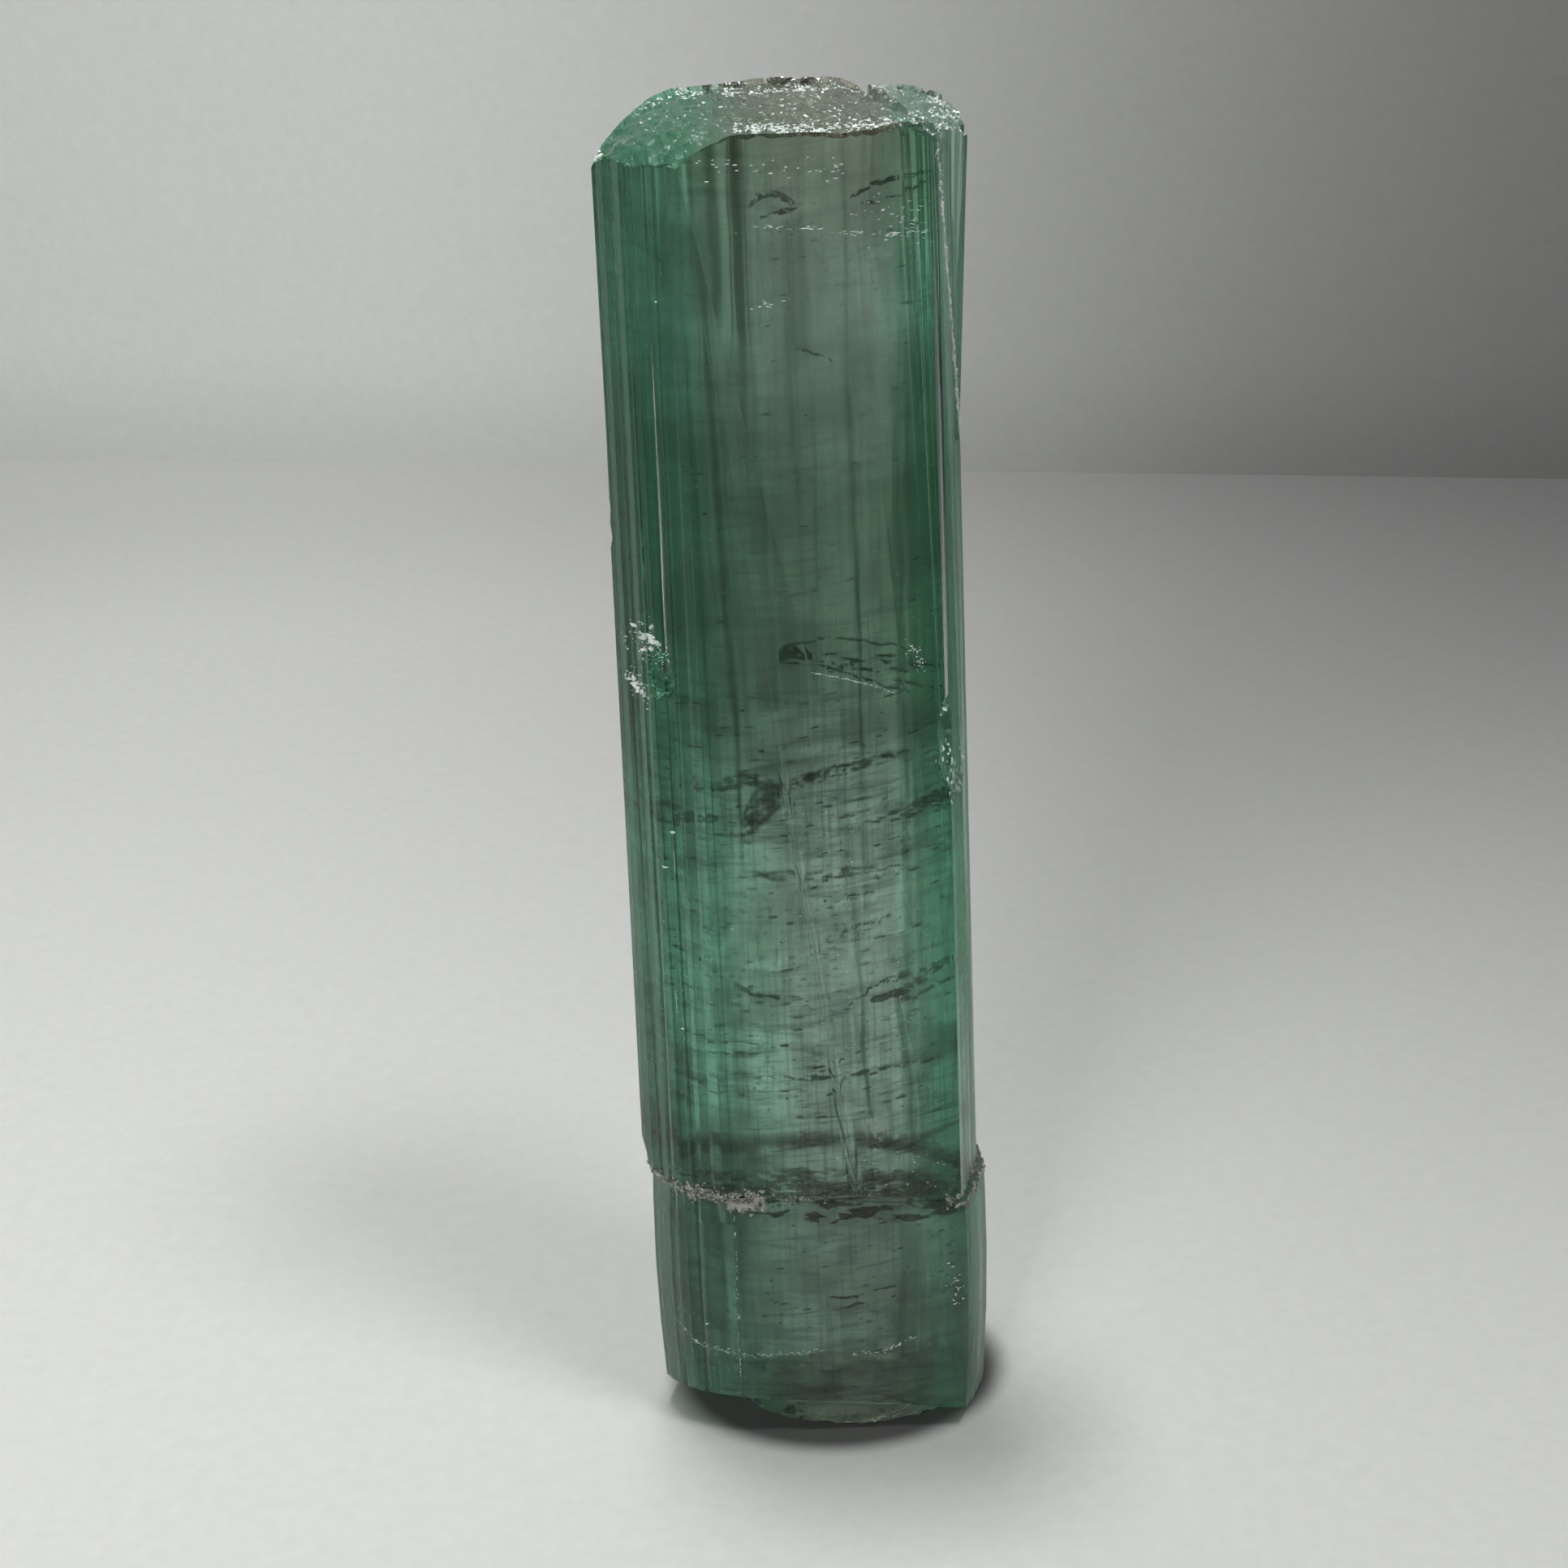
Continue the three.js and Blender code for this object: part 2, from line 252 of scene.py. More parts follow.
def blocks(tree, wide, tall):
    """Upright blocks of chance brightness, each column of them shifted by a chance amount."""
    x, _, z = place_on(tree)
    column = worked(tree, "SNAP", x, wide)
    column_mm = worked(tree, "MULTIPLY", column, 1 / MM)
    shift = by_chance(tree, "1D", "W", column_mm)
    row = worked(tree, "SNAP", worked(tree, "MULTIPLY_ADD", shift, 5 * tall, z), tall)
    row_mm = worked(tree, "MULTIPLY", row, 1 / MM)
    return by_chance(tree, "2D", "Vector", joined(tree, column_mm, row_mm, 0.0))


def colour_zones(tree):
    """Green down the left and right of the crystal and greyish down the middle, by height; the
    right side face is painted pale, a painted sheen.
    """
    x, _, z = place_on(tree)
    wobble = pattern(tree, 900, (1, 1, 0.08), Detail=2)
    shifted = worked(tree, "MULTIPLY_ADD", wobble, 1.1 * MM, x)
    zones = ramp(tree, worked(tree, "MULTIPLY_ADD", shifted, 1 / ZONES_WIDTH, ZONES_MIDDLE), [
        (0.0, (0.28, 0.76, 0.5)), (0.1, (0.28, 0.84, 0.56)), (0.15, (0.4, 1.0, 0.76)),
        (0.27, (0.43, 1.0, 0.78)), (0.32, (0.6, 0.95, 0.76)), (0.5, (0.73, 0.76, 0.71)),
        (0.7, (0.68, 0.7, 0.66)), (0.79, (0.6, 0.92, 0.72)), (0.84, (0.36, 0.95, 0.68)),
        (0.9, (0.36, 0.95, 0.68)), (0.915, (0.92, 0.93, 0.88)), (1.0, (0.94, 0.96, 0.92))])
    heights = ramp(tree, worked(tree, "MULTIPLY", z, 1 / CRYSTAL_HEIGHT), [
        (0.0, grey(0.8)), (0.06, grey(0.55)), (0.11, grey(0.34)), (0.2, grey(0.36)),
        (0.24, grey(0.6)), (0.27, grey(0.74)), (0.31, grey(0.97)), (0.49, grey(1)),
        (0.54, grey(0.62)), (0.62, (0.32, 0.42, 0.33)), (0.76, (0.25, 0.32, 0.25)),
        (0.88, grey(0.75)), (1.0, (0.75, 0.62, 0.55))])
    return blended(tree, 1.0, zones, heights, "MULTIPLY")


def veiled(tree):
    """Fine wisps along the bowl-shaped layers, upright hairs and dark clouds."""
    x, y, z = place_on(tree)
    off = worked(tree, "ADD", x, -BOWL_MIDDLE * MM)
    sag = worked(tree, "MULTIPLY", worked(tree, "MULTIPLY", off, off), -BOWL_RISE / MM)
    bowl = joined(tree, x, y, worked(tree, "ADD", z, sag))
    wisps = pattern(tree, 2600, (0.16, 0.4, 1), bowl, Detail=3, Roughness=0.62,
                    Distortion=0.6)
    fine_wisps = pattern(tree, 7000, (0.12, 0.4, 1), bowl, Detail=2, Roughness=0.7,
                         Distortion=1.0)
    hairs = pattern(tree, 8200, (1, 0.4, 0.03), Detail=2, Roughness=0.7)
    cloud = pattern(tree, 420, (0.7, 1, 1), bowl, Detail=2)
    wisps = ramp(tree, wisps, [(0.34, grey(0.14)), (0.42, grey(0.55)), (0.5, grey(1))])
    fine_wisps = ramp(tree, fine_wisps, [(0.36, grey(0.45)), (0.5, grey(1))])
    hairs = ramp(tree, hairs, [(0.38, grey(0.5)), (0.5, grey(1))])
    cloud = ramp(tree, cloud, [(0.38, (0.34, 0.3, 0.26)), (0.52, grey(1))])
    fine = blended(tree, 1.0, wisps, hairs, "MULTIPLY")
    fine = blended(tree, 1.0, fine, fine_wisps, "MULTIPLY")
    return blended(tree, 1.0, fine, cloud, "MULTIPLY")


def growth_lines(tree):
    """Thin dark upright lines near the left edge of the front, fading out upwards."""
    x, y, z = place_on(tree)
    clear = worked(tree, "MAXIMUM", spread(tree, z, *LINES_FADE_UP),
                   spread(tree, y, *LINES_FADE_BACK))
    shade = grey(1)
    for line, width, dark in GROWTH_LINES:
        off = worked(tree, "ABSOLUTE", worked(tree, "SUBTRACT", x, line * MM))
        side = spread(tree, off, width * 0.5 * MM, width * MM)
        tone = ramp(tree, worked(tree, "MAXIMUM", side, clear), [(0, grey(dark)), (1, grey(1))])
        shade = blended(tree, 1.0, shade, tone, "MULTIPLY")
    return shade


def tourmaline_colour(tree, streaks, broken, silky, worn):
    """The crystal's colour: zones and veils inside it, streaks, and the colours of its breaks."""
    x, _, z = place_on(tree)
    clear = spread(tree, z, *CLEAR_FROM)
    share = worked(tree, "MULTIPLY_ADD", clear, -0.42, 0.88)
    share = worked(tree, "MULTIPLY_ADD", spread(tree, z, *BELOW_BREAK_FROM), -0.16, share)
    bright = worked(tree, "MULTIPLY", spread(tree, z, *BRIGHT_FROM), spread(tree, z, *BRIGHT_TO))
    share = worked(tree, "MULTIPLY_ADD", bright, -0.2, share)
    colour = blended(tree, share, colour_zones(tree), veiled(tree), "MULTIPLY")
    tiles = ramp(tree, blocks(tree, BLOCK_WIDTH, BLOCK_HEIGHT), [(0.0, grey(0.5)), (0.5, grey(1))])
    colour = blended(tree, share, colour, tiles, "MULTIPLY")
    colour = blended(tree, 0.9, colour, growth_lines(tree), "MULTIPLY")

    colour = blended(tree, worked(tree, "MULTIPLY", silky, 0.5), colour, (0.85, 1, 0.93))
    streaked = ramp(tree, streaks, [(0.4, (0.5, 0.62, 0.55)), (0.5, grey(1))])
    faint = worked(tree, "MULTIPLY_ADD", clear, -0.45, 0.75)
    colour = blended(tree, worked(tree, "MULTIPLY", silky, faint), colour,
                     blended(tree, 1.0, colour, streaked, "MULTIPLY"))

    across = worked(tree, "MULTIPLY_ADD", x, 1 / ZONES_WIDTH, 0.5)
    torn = ramp(tree, across, [(0.3, (0.3, 0.82, 0.54)), (0.42, (0.6, 0.6, 0.48)),
                               (0.72, (0.7, 0.56, 0.5)), (0.8, (0.8, 1, 0.92))])
    colour = blended(tree, worked(tree, "MULTIPLY", broken, 0.8), colour, torn)
    side_crystal = worked(tree, "MULTIPLY", spread(tree, x, *SIDE_CRYSTAL_FROM_X),
                          spread(tree, z, *SIDE_CRYSTAL_FROM_Z))
    # The right side face is painted paler, a painted sheen; the side crystal is paler in its own
    # colour
    right_face_sheen = worked(tree, "MULTIPLY", spread(tree, x, *RIGHT_FACE_SHEEN_FROM_X), 0.6)
    pale = worked(tree, "MULTIPLY", worked(tree, "MAXIMUM", side_crystal, right_face_sheen), 0.85)
    colour = blended(tree, pale, colour, (0.88, 1, 0.96))
    return blended(tree, worked(tree, "MULTIPLY", worn, 0.8), colour, (0.75, 0.7, 0.64))


def clear_tourmaline():
    material, tree, gloss = new_material("clear_tourmaline")
    gloss.inputs["Transmission Weight"].default_value = 0.9
    gloss.inputs["IOR"].default_value = REFRACTS
    gloss.inputs["Specular Tint"].default_value = (*grey(0.5), 1)
    broken, silky, worn = mask(tree, "broken"), mask(tree, "silky"), mask(tree, "worn")
    streaks = pattern(tree, 2600, (1, 1, 0.008), Detail=2, Roughness=0.7)
    feed(tree, gloss.inputs["Base Color"], tourmaline_colour(tree, streaks, broken, silky, worn))

    uneven = pattern(tree, 900, (1, 1, 0.3), Detail=1)
    smooth = ramp(tree, uneven, [(0.3, grey(0.1)), (0.7, grey(0.2))])
    satin = ramp(tree, streaks, [(0.42, grey(0.22)), (0.52, grey(0.5))])
    rough = blended(tree, silky, smooth, satin)
    rough = blended(tree, broken, rough, grey(0.14))
    feed(tree, gloss.inputs["Roughness"], blended(tree, worn, rough, grey(0.5)))

    grain = pattern(tree, 8500, Detail=2, Roughness=0.65)
    lengthwise = worked(tree, "MULTIPLY", streaks, silky)
    jagged = worked(tree, "MULTIPLY", grain, broken)
    normal = bumped(tree, uneven, 0.04 * MM)
    normal = bumped(tree, lengthwise, 0.04 * MM, normal)
    feed(tree, gloss.inputs["Normal"], bumped(tree, jagged, 0.035 * MM, normal))

    absorbed = tree.nodes.new("ShaderNodeVolumeAbsorption")
    absorbed.inputs["Color"].default_value = ABSORBS
    absorbed.inputs["Density"].default_value = ABSORPTION
    feed(tree, tree.nodes["Material Output"].inputs["Volume"], absorbed.outputs[0])
    return material


def is_broken(face):
    """Whether a face belongs to a break: it lies aslant to the crystal's length."""
    z, tilt = face.center.z, abs(face.normal.z)
    seam = SEAM_LEVELS[0] < z < SEAM_LEVELS[1] and tilt > 0.3
    return tilt > 0.12 and (seam or z > TOP_BREAK_FROM or z < BASE_BREAK_TO or tilt > 0.2)


def roughened(piece, group, texture_kind, size, depth):
    """Pushes the faces of a vertex group inwards by an uneven pattern."""
    texture = bpy.data.textures.new(piece.name + "_" + texture_kind.lower(), texture_kind)
    texture.noise_scale = size
    work_on(piece)
    push = piece.modifiers.new("roughen", "DISPLACE")
    push.texture = texture
    push.texture_coords = "LOCAL"
    push.vertex_group = group
    push.strength = depth
    push.mid_level = 1
    bpy.ops.object.modifier_apply(modifier=push.name)


crystal = frame["nodes"]["tourmaline_crystal"].copy()
crystal.data = crystal.data.copy()
crystal.name = "tourmaline"
bpy.context.collection.objects.link(crystal)
crystal.hide_render = False
work_on(crystal)
bpy.ops.object.mode_set(mode="EDIT")
bpy.ops.mesh.select_all(action="SELECT")
bpy.ops.mesh.remove_doubles(threshold=SAME_POINT)
bpy.ops.mesh.select_all(action="DESELECT")
bpy.ops.object.mode_set(mode="OBJECT")
for face in crystal.data.polygons:
    face.select = is_broken(face) and not SEAM_LEVELS[0] < face.center.z < SEAM_LEVELS[1]
breaks = crystal.vertex_groups.new(name="breaks")
bpy.ops.object.mode_set(mode="EDIT")
bpy.ops.mesh.subdivide(number_cuts=1)
bpy.ops.mesh.select_less()
bpy.ops.object.vertex_group_assign()
bpy.ops.object.mode_set(mode="OBJECT")
roughened(crystal, "breaks", "VORONOI", BREAK_GRAIN, BREAK_DEPTH)
roughened(crystal, "breaks", "CLOUDS", BREAK_FINE_GRAIN, BREAK_FINE_DEPTH)

masks = {name: crystal.data.attributes.new(name, "FLOAT", "FACE")
         for name in ("broken", "silky", "worn")}
for face in crystal.data.polygons:
    broken = is_broken(face)
    steep = face.normal.y > -0.2 or abs(face.normal.x) > 0.8
    off_boss = math.hypot(face.center.x - BOSS_MIDDLE * MM, face.center.y)
    low = face.center.z < WORN_TO and off_boss < WORN_RADIUS
    masks["broken"].data[face.index].value = float(broken)
    masks["silky"].data[face.index].value = float(not broken and steep)
    masks["worn"].data[face.index].value = float(broken and low)
for vertex in crystal.data.vertices:
    vertex.co.z = min(vertex.co.z, solids_box[1][2])
bpy.ops.object.shade_smooth_by_angle(angle=SOFT_EDGE)
for face in crystal.data.polygons:
    face.use_smooth = face.use_smooth and not is_broken(face)
crystal.data.materials.clear()
crystal.data.materials.append(clear_tourmaline())
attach(crystal, "root")
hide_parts("tourmaline_crystal")


# --- Healed cracks ------------------------------------------------------------------------------
# Old cracks that closed again inside the crystal. Each is a thin ragged dark film that lies nearly
# level and runs back into the crystal, and round them lie many small dark dashes of the same kind.
FILM_CELL = 0.055 * MM
FILM_THICKNESS = 0.008 * MM
RIPPLE = 0.09
FINE_RIPPLE = 0.03
noise.seed_set(7)  # The ripples of the films follow this seed


def along(path, share):
    """The point at a share of the way along a smooth curve through the points of a path."""
    reach = share * (len(path) - 1)
    i = min(int(reach), len(path) - 2)
    t = reach - i
    before, start, end, after = (path[min(max(k, 0), len(path) - 1)] for k in range(i - 1, i + 3))
    bend = ((2 * before - 5 * start + 4 * end - after) * t * t
            + (3 * start - before - 3 * end + after) * t ** 3)
    return start + ((end - before) * t + bend) / 2


def film(path, width, gone, grain=(2.2, 5, 9), rise=20):
    """A thin film along a path, its points and width in mm, that rises to the back in degrees.

    It has holes where noise is below gone, finer along each axis the greater its grain.
    """
    path = [Vector(point) * MM for point in path]
    length = sum((end - start).length for start, end in zip(path, path[1:]))
    bpy.ops.mesh.primitive_grid_add(x_subdivisions=max(6, round(length / FILM_CELL)),
                                    y_subdivisions=max(3, round(width * MM / FILM_CELL)), size=1)
    piece = bpy.context.object
    back = Vector((0, math.cos(math.radians(rise)), math.sin(math.radians(rise))))
    for vertex in piece.data.vertices:
        share, side = vertex.co.x + 0.5, vertex.co.y
        point = along(path, share)
        swell = 0.25 + 0.75 * math.sin(math.pi * share) ** 0.6 if 0 < share < 1 else 0.25
        point = point + back * (side * width * swell * MM)
        ripple = (noise.noise_vector(point / MM * 2.1) * RIPPLE
                  + noise.noise_vector(point / MM * 7) * FINE_RIPPLE)
        vertex.co = point + ripple * MM
    work_on(piece)
    bpy.context.tool_settings.mesh_select_mode = (False, False, True)
    bpy.ops.object.mode_set(mode="EDIT")
    bpy.ops.mesh.select_all(action="DESELECT")
    bpy.ops.object.mode_set(mode="OBJECT")
    for face in piece.data.polygons:
        place = Vector(at * size for at, size in zip(face.center / MM, grain))
        face.select = noise.fractal(place, 1.0, 2.0, 4) < gone
    bpy.ops.object.mode_set(mode="EDIT")
    bpy.ops.mesh.delete(type="FACE")
    bpy.ops.object.mode_set(mode="OBJECT")
    plate = piece.modifiers.new("plate", "SOLIDIFY")
    plate.thickness = FILM_THICKNESS
    bpy.ops.object.modifier_apply(modifier=plate.name)
    return piece


def made_one(name, pieces, material):
    """Joins pieces into one that stays within the crystal's reach, and fixes it in the crystal."""
    bpy.ops.object.select_all(action="DESELECT")
    for piece in pieces:
        piece.select_set(True)
    bpy.context.view_layer.objects.active = pieces[0]
    bpy.ops.object.join()
    whole = bpy.context.object
    whole.name = name
    bpy.ops.object.transform_apply(location=True, rotation=True, scale=True)
    lowest, highest = solids_box
    for vertex in whole.data.vertices:
        vertex.co = [min(max(at, low), high)
                     for at, low, high in zip(vertex.co, lowest, highest)]
    whole.data.materials.clear()
    whole.data.materials.append(material)
    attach(whole, "root")


def chip(seed, rough=0.2):
    """A small uneven grain of a few faces, 1 across."""
    bpy.ops.mesh.primitive_ico_sphere_add(subdivisions=1, radius=0.5, location=(0, 0, 0))
    grain = bpy.context.object
    bpy.ops.object.mode_set(mode="EDIT")
    bpy.ops.mesh.select_all(action="SELECT")
    bpy.ops.transform.vertex_random(offset=rough, seed=seed)
    bpy.ops.object.mode_set(mode="OBJECT")
    return grain


def strewn(grain, places):
    """One mesh of many copies of a grain, one at each matrix."""
    corners = [vertex.co.copy() for vertex in grain.data.vertices]
    faces = [tuple(face.vertices) for face in grain.data.polygons]
    bpy.data.objects.remove(grain)
    mesh = bpy.data.meshes.new("strewn")
    mesh.from_pydata([place @ corner for place in places for corner in corners], [],
                     [[i * len(corners) + k for k in face]
                      for i in range(len(places)) for face in faces])
    piece = bpy.data.objects.new("strewn", mesh)
    bpy.context.collection.objects.link(piece)
    return piece


def laid(point, size, turns):
    """A matrix that scales a grain in mm, turns it in degrees about X, Y and Z and places it."""
    turn = Matrix.Identity(4)
    for angle, axis in zip(turns, "XYZ"):
        turn = Matrix.Rotation(math.radians(angle), 4, axis) @ turn
    scale = Matrix.Diagonal((*(Vector(size) * MM), 1))
    return Matrix.Translation(Vector(point) * MM) @ turn @ scale


def dashes(chance, count, zone, length, depth, thickness, tilt=8):
    """Places for flat grains that follow the bowl-shaped layers inside a zone, in mm."""
    places = []
    for _ in range(count):
        point = [chance.uniform(low, high) for low, high in zone]
        slope = -math.degrees(math.atan(2 * BOWL_RISE * (point[0] - BOWL_MIDDLE)))
        size = [chance.uniform(*span) for span in (length, depth, thickness)]
        turns = (chance.uniform(5, 35), slope + chance.uniform(-tilt, tilt),
                 chance.uniform(-12, 12))
        places.append(laid(point, size, turns))
    return places


def dark_film():
    material, tree, gloss = new_material("dark_film")
    shade = pattern(tree, 2400, (0.5, 1, 1), Detail=4)
    colour = ramp(tree, shade, [(0.35, (0.01, 0.05, 0.03)), (0.65, (0.06, 0.24, 0.15))])
    feed(tree, gloss.inputs["Base Color"], colour)
    gloss.inputs["Roughness"].default_value = 0.45
    feed(tree, gloss.inputs["Normal"], bumped(tree, shade, 0.01 * MM))
    return material


# Paths in mm, then widths in mm, how much is gone and, where it differs, the grain
DARK_FILMS = [
    # Lens crack: its rounded tip, upper side, flakes, lower edge and right end
    ([(-0.35, -1.84, 27.85), (0.1, -1.84, 28.0), (0.5, -1.84, 27.8)], 0.9, -0.5),
    ([(0.0, -1.7, 28.2), (1.1, -1.7, 28.32), (2.3, -1.7, 28.2), (3.4, -1.7, 27.9)], 0.16, -0.15),
    ([(0.6, -1.84, 27.7), (2.0, -1.84, 27.5), (4.4, -1.84, 27.2)], 1.5, 0.3, (1.4, 4, 9)),
    ([(-0.3, -2.0, 27.72), (1.0, -2.0, 27.45), (2.2, -2.0, 27.0), (3.4, -2.0, 26.55)], 0.16, -0.3),
    ([(2.9, -1.9, 26.95), (3.6, -1.9, 26.75), (4.5, -1.9, 26.7)], 0.25, -0.2),
    ([(3.35, -1.9, 27.75), (3.6, -1.9, 27.4), (3.55, -1.9, 27.05)], 0.3, -0.2),
    # Flakes and streaks near the top
    ([(-0.9, -1.84, 41.5), (-0.3, -1.84, 41.85), (0.4, -1.84, 41.55)], 0.55, -0.25),
    ([(-0.6, -1.84, 41.22), (0.0, -1.84, 41.3), (0.45, -1.84, 41.4)], 0.25, -0.25),
    ([(1.9, -2.84, 41.75), (2.9, -2.84, 42.2), (4.3, -2.84, 42.45)], 0.3, -0.12),
    ([(2.3, -2.84, 41.6), (3.3, -2.84, 41.75), (4.1, -2.84, 42.2)], 0.3, -0.02),
    ([(0.5, -2.34, 37.34), (1.0, -2.34, 37.2), (1.3, -2.34, 37.0)], 0.2, -0.3),
    ([(3.3, -2.84, 38.7), (3.7, -2.84, 38.75), (4.15, -2.84, 38.95)], 0.14, -0.35),
    # Swoops below the lens crack
    ([(-3.7, -0.84, 22.1), (-3.1, -0.84, 22.35), (-2.4, -0.84, 22.3)], 0.8, -0.3),
    ([(-2.6, -0.84, 23.3), (-1.4, -0.84, 23.6), (-0.4, -0.84, 23.2)], 0.9, -0.12, (1.6, 3, 9)),
    ([(-1.6, -0.84, 22.0), (-1.1, -0.84, 22.55), (-0.4, -0.84, 23.1)], 2.1, -0.4, (1.6, 3, 9)),
    ([(-0.6, -0.84, 23.2), (0.4, -1.2, 23.6), (1.4, -1.5, 24.0), (2.9, -1.7, 24.4)], 0.7, -0.08),
    ([(1.9, -1.84, 22.2), (3.2, -1.84, 22.5), (4.2, -1.84, 23.0), (4.9, -1.84, 23.5)], 0.8, -0.08),
    ([(3.4, -1.84, 22.75), (4.2, -1.84, 23.0), (4.95, -1.84, 23.5)], 0.8, -0.35),
    # Strokes that rise to the right edge
    ([(2.0, -2.34, 16.15), (2.9, -2.34, 16.45), (3.8, -2.34, 17.0), (4.5, -2.34, 17.6)],
     0.55, -0.2),
    ([(1.3, -2.34, 15.95), (2.0, -2.34, 16.6), (3.0, -2.34, 16.95), (4.3, -2.34, 17.5)],
     0.3, -0.05),
    ([(2.6, -2.34, 16.0), (3.6, -2.34, 16.4), (4.5, -2.34, 16.9)], 0.25, -0.1),
    # Lower veils of the cloudy part
    ([(-4.5, -2.84, 18.55), (-3.7, -2.84, 18.2), (-3.0, -2.84, 17.9)], 0.25, -0.2),
    ([(-3.1, -1.84, 17.4), (-1.8, -1.84, 16.5), (0.0, -1.84, 16.1)], 0.35, -0.02),
    ([(0.2, -0.84, 17.7), (1.6, -0.84, 18.2), (2.9, -0.84, 18.8)], 0.4, -0.02),
    ([(-1.8, -0.84, 20.35), (0.5, -0.84, 20.2), (3.1, -0.84, 20.45)], 0.6, 0.03),
    ([(-1.9, -1.84, 13.4), (0.4, -1.84, 13.25), (2.6, -1.84, 13.5), (4.3, -1.84, 13.9)], 0.3, 0.02),
    # Below the healed break
    ([(0.2, -2.34, 4.95), (0.9, -2.34, 4.9), (1.5, -2.34, 5.0)], 0.12, -0.3),
    ([(0.3, -2.34, 4.5), (0.8, -2.34, 4.55), (1.3, -2.34, 4.7)], 0.12, -0.3),
    ([(1.6, -2.34, 5.2), (2.1, -2.34, 5.25), (2.6, -2.34, 5.35)], 0.12, -0.3),
]
# How many dashes, the zone they lie in, and the spans of their length, depth and thickness in mm
DARK_DASHES = [
    (70, ((-4.2, 4.2), (-3.3, -0.5), (24.2, 27.0)), (0.15, 0.6), (0.04, 0.12), (0.01, 0.03)),
    (230, ((-4.4, 4.4), (-3.4, 0.5), (11.5, 23.0)), (0.12, 0.6), (0.04, 0.16), (0.01, 0.03)),
    (90, ((-4.2, 4.2), (-3.4, 0.5), (28.5, 41.0)), (0.1, 0.4), (0.03, 0.1), (0.008, 0.02)),
    (70, ((-4.2, 4.4), (-3.4, 0.5), (3.0, 8.6)), (0.1, 0.4), (0.03, 0.12), (0.008, 0.025)),
]
dark_films = [film(*row) for row in DARK_FILMS]
chance = random.Random(5)
dark_grains = strewn(chip(3), [place for row in DARK_DASHES for place in dashes(chance, *row)])
made_one("healed_cracks", [*dark_films, dark_grains], dark_film())


# --- Pale veils ---------------------------------------------------------------------------------
# Clouds of tiny pale grains and fine upright growth tubes inside the crystal. They are thickest
# over its lower middle, where they lie in bowl-shaped layers.
TUBE_SIDES = 5
TUBE_BARREL = 0.6
TUBES = 520
# Rows as for the dark dashes, then how far they tilt either way in degrees
PALE_DASHES = [
    (750, ((-4.3, 4.3), (-3.5, 1.0), (12.5, 23.5)), (0.04, 0.3), (0.03, 0.12), (0.012, 0.035), 14),
    (160, ((-4.3, 4.3), (-3.4, 1.0), (24, 41)), (0.03, 0.2), (0.03, 0.1), (0.012, 0.03), 20),
    (160, ((-0.5, 4.4), (-3.5, -1.0), (38.5, 42.4)), (0.03, 0.2), (0.03, 0.1), (0.012, 0.035), 60),
    (200, ((-4.0, 4.6), (-3.5, 0.5), (2.5, 8.6)), (0.03, 0.22), (0.03, 0.1), (0.012, 0.03), 20),
]


def pale_grain():
    material, tree, gloss = new_material("pale_grain")
    shade = pattern(tree, 900, Detail=3)
    colour = ramp(tree, shade, [(0.35, (0.55, 0.8, 0.66)), (0.65, (0.92, 1.0, 0.94))])
    feed(tree, gloss.inputs["Base Color"], colour)
    gloss.inputs["Roughness"].default_value = 0.35
    feed(tree, gloss.inputs["Normal"], bumped(tree, shade, 0.01 * MM))
    return material


def growth_tube():
    """A needle 1 long, drawn to a point at both ends."""
    bpy.ops.mesh.primitive_cylinder_add(vertices=TUBE_SIDES, radius=0.5, depth=TUBE_BARREL,
                                        end_fill_type="TRIFAN")
    needle = bpy.context.object
    for vertex in needle.data.vertices:
        if math.hypot(vertex.co.x, vertex.co.y) < 0.1:
            vertex.co.z *= 1 / TUBE_BARREL
    return needle


chance = random.Random(11)
cloud = strewn(chip(8), [place for row in PALE_DASHES for place in dashes(chance, *row)])
tube_places = []
for _ in range(TUBES):
    point = (chance.uniform(-4.3, 4.3), chance.uniform(-3.55, 0.5), chance.triangular(12, 25, 19))
    size = (*[chance.uniform(0.01, 0.022)] * 2, chance.uniform(0.2, 1.3))
    tube_places.append(laid(point, size, (chance.uniform(-2, 2), chance.uniform(-2, 2), 0)))
tubes = strewn(growth_tube(), tube_places)
made_one("pale_veils", [cloud, tubes], pale_grain())


# --- Healed break -------------------------------------------------------------------------------
# The break right across the crystal, healed by dark spongy filling with beige dust in it. A beige
# crust stands out of the groove round it, thickest at the left of the front face.
SEAM_MIDDLE = 9.15
CAST_FROM = 20 * MM
CAST_LIFT = 2
SIDES_AND_BACK = (-0.5, 3.6)


def seam_level(x, y):
    """Height in mm of the healed break at a place in mm."""
    return SEAM_MIDDLE - 0.045 * x - 0.04 * y


def earthy(name, dark, pale):
    material, tree, gloss = new_material(name)
    grit = pattern(tree, 4200, Detail=3, Roughness=0.7)
    feed(tree, gloss.inputs["Base Color"], ramp(tree, grit, [(0.4, dark), (0.58, pale)]))
    feed(tree, gloss.inputs["Roughness"],
         ramp(tree, grit, [(0.3, grey(0.9)), (0.7, grey(0.6))]))
    feed(tree, gloss.inputs["Normal"], bumped(tree, grit, 0.04 * MM))
    return material


def surface_at(z, x=None, bearing=0):
    """A point of the crystal's surface and its normal, at a height in mm.

    The crystal is met from the front at x in mm, or from a bearing round it in radians.
    """
    if x is not None:
        start, heading = Vector((x * MM, -CAST_FROM, z * MM)), Vector((0, 1, 0))
    else:
        heading = Vector((-math.cos(bearing), -math.sin(bearing), 0))
        start = Vector((0, 0, z * MM)) - heading * CAST_FROM
    found, point, outward, _ = crystal.ray_cast(start, heading)
    return (point, outward) if found else None


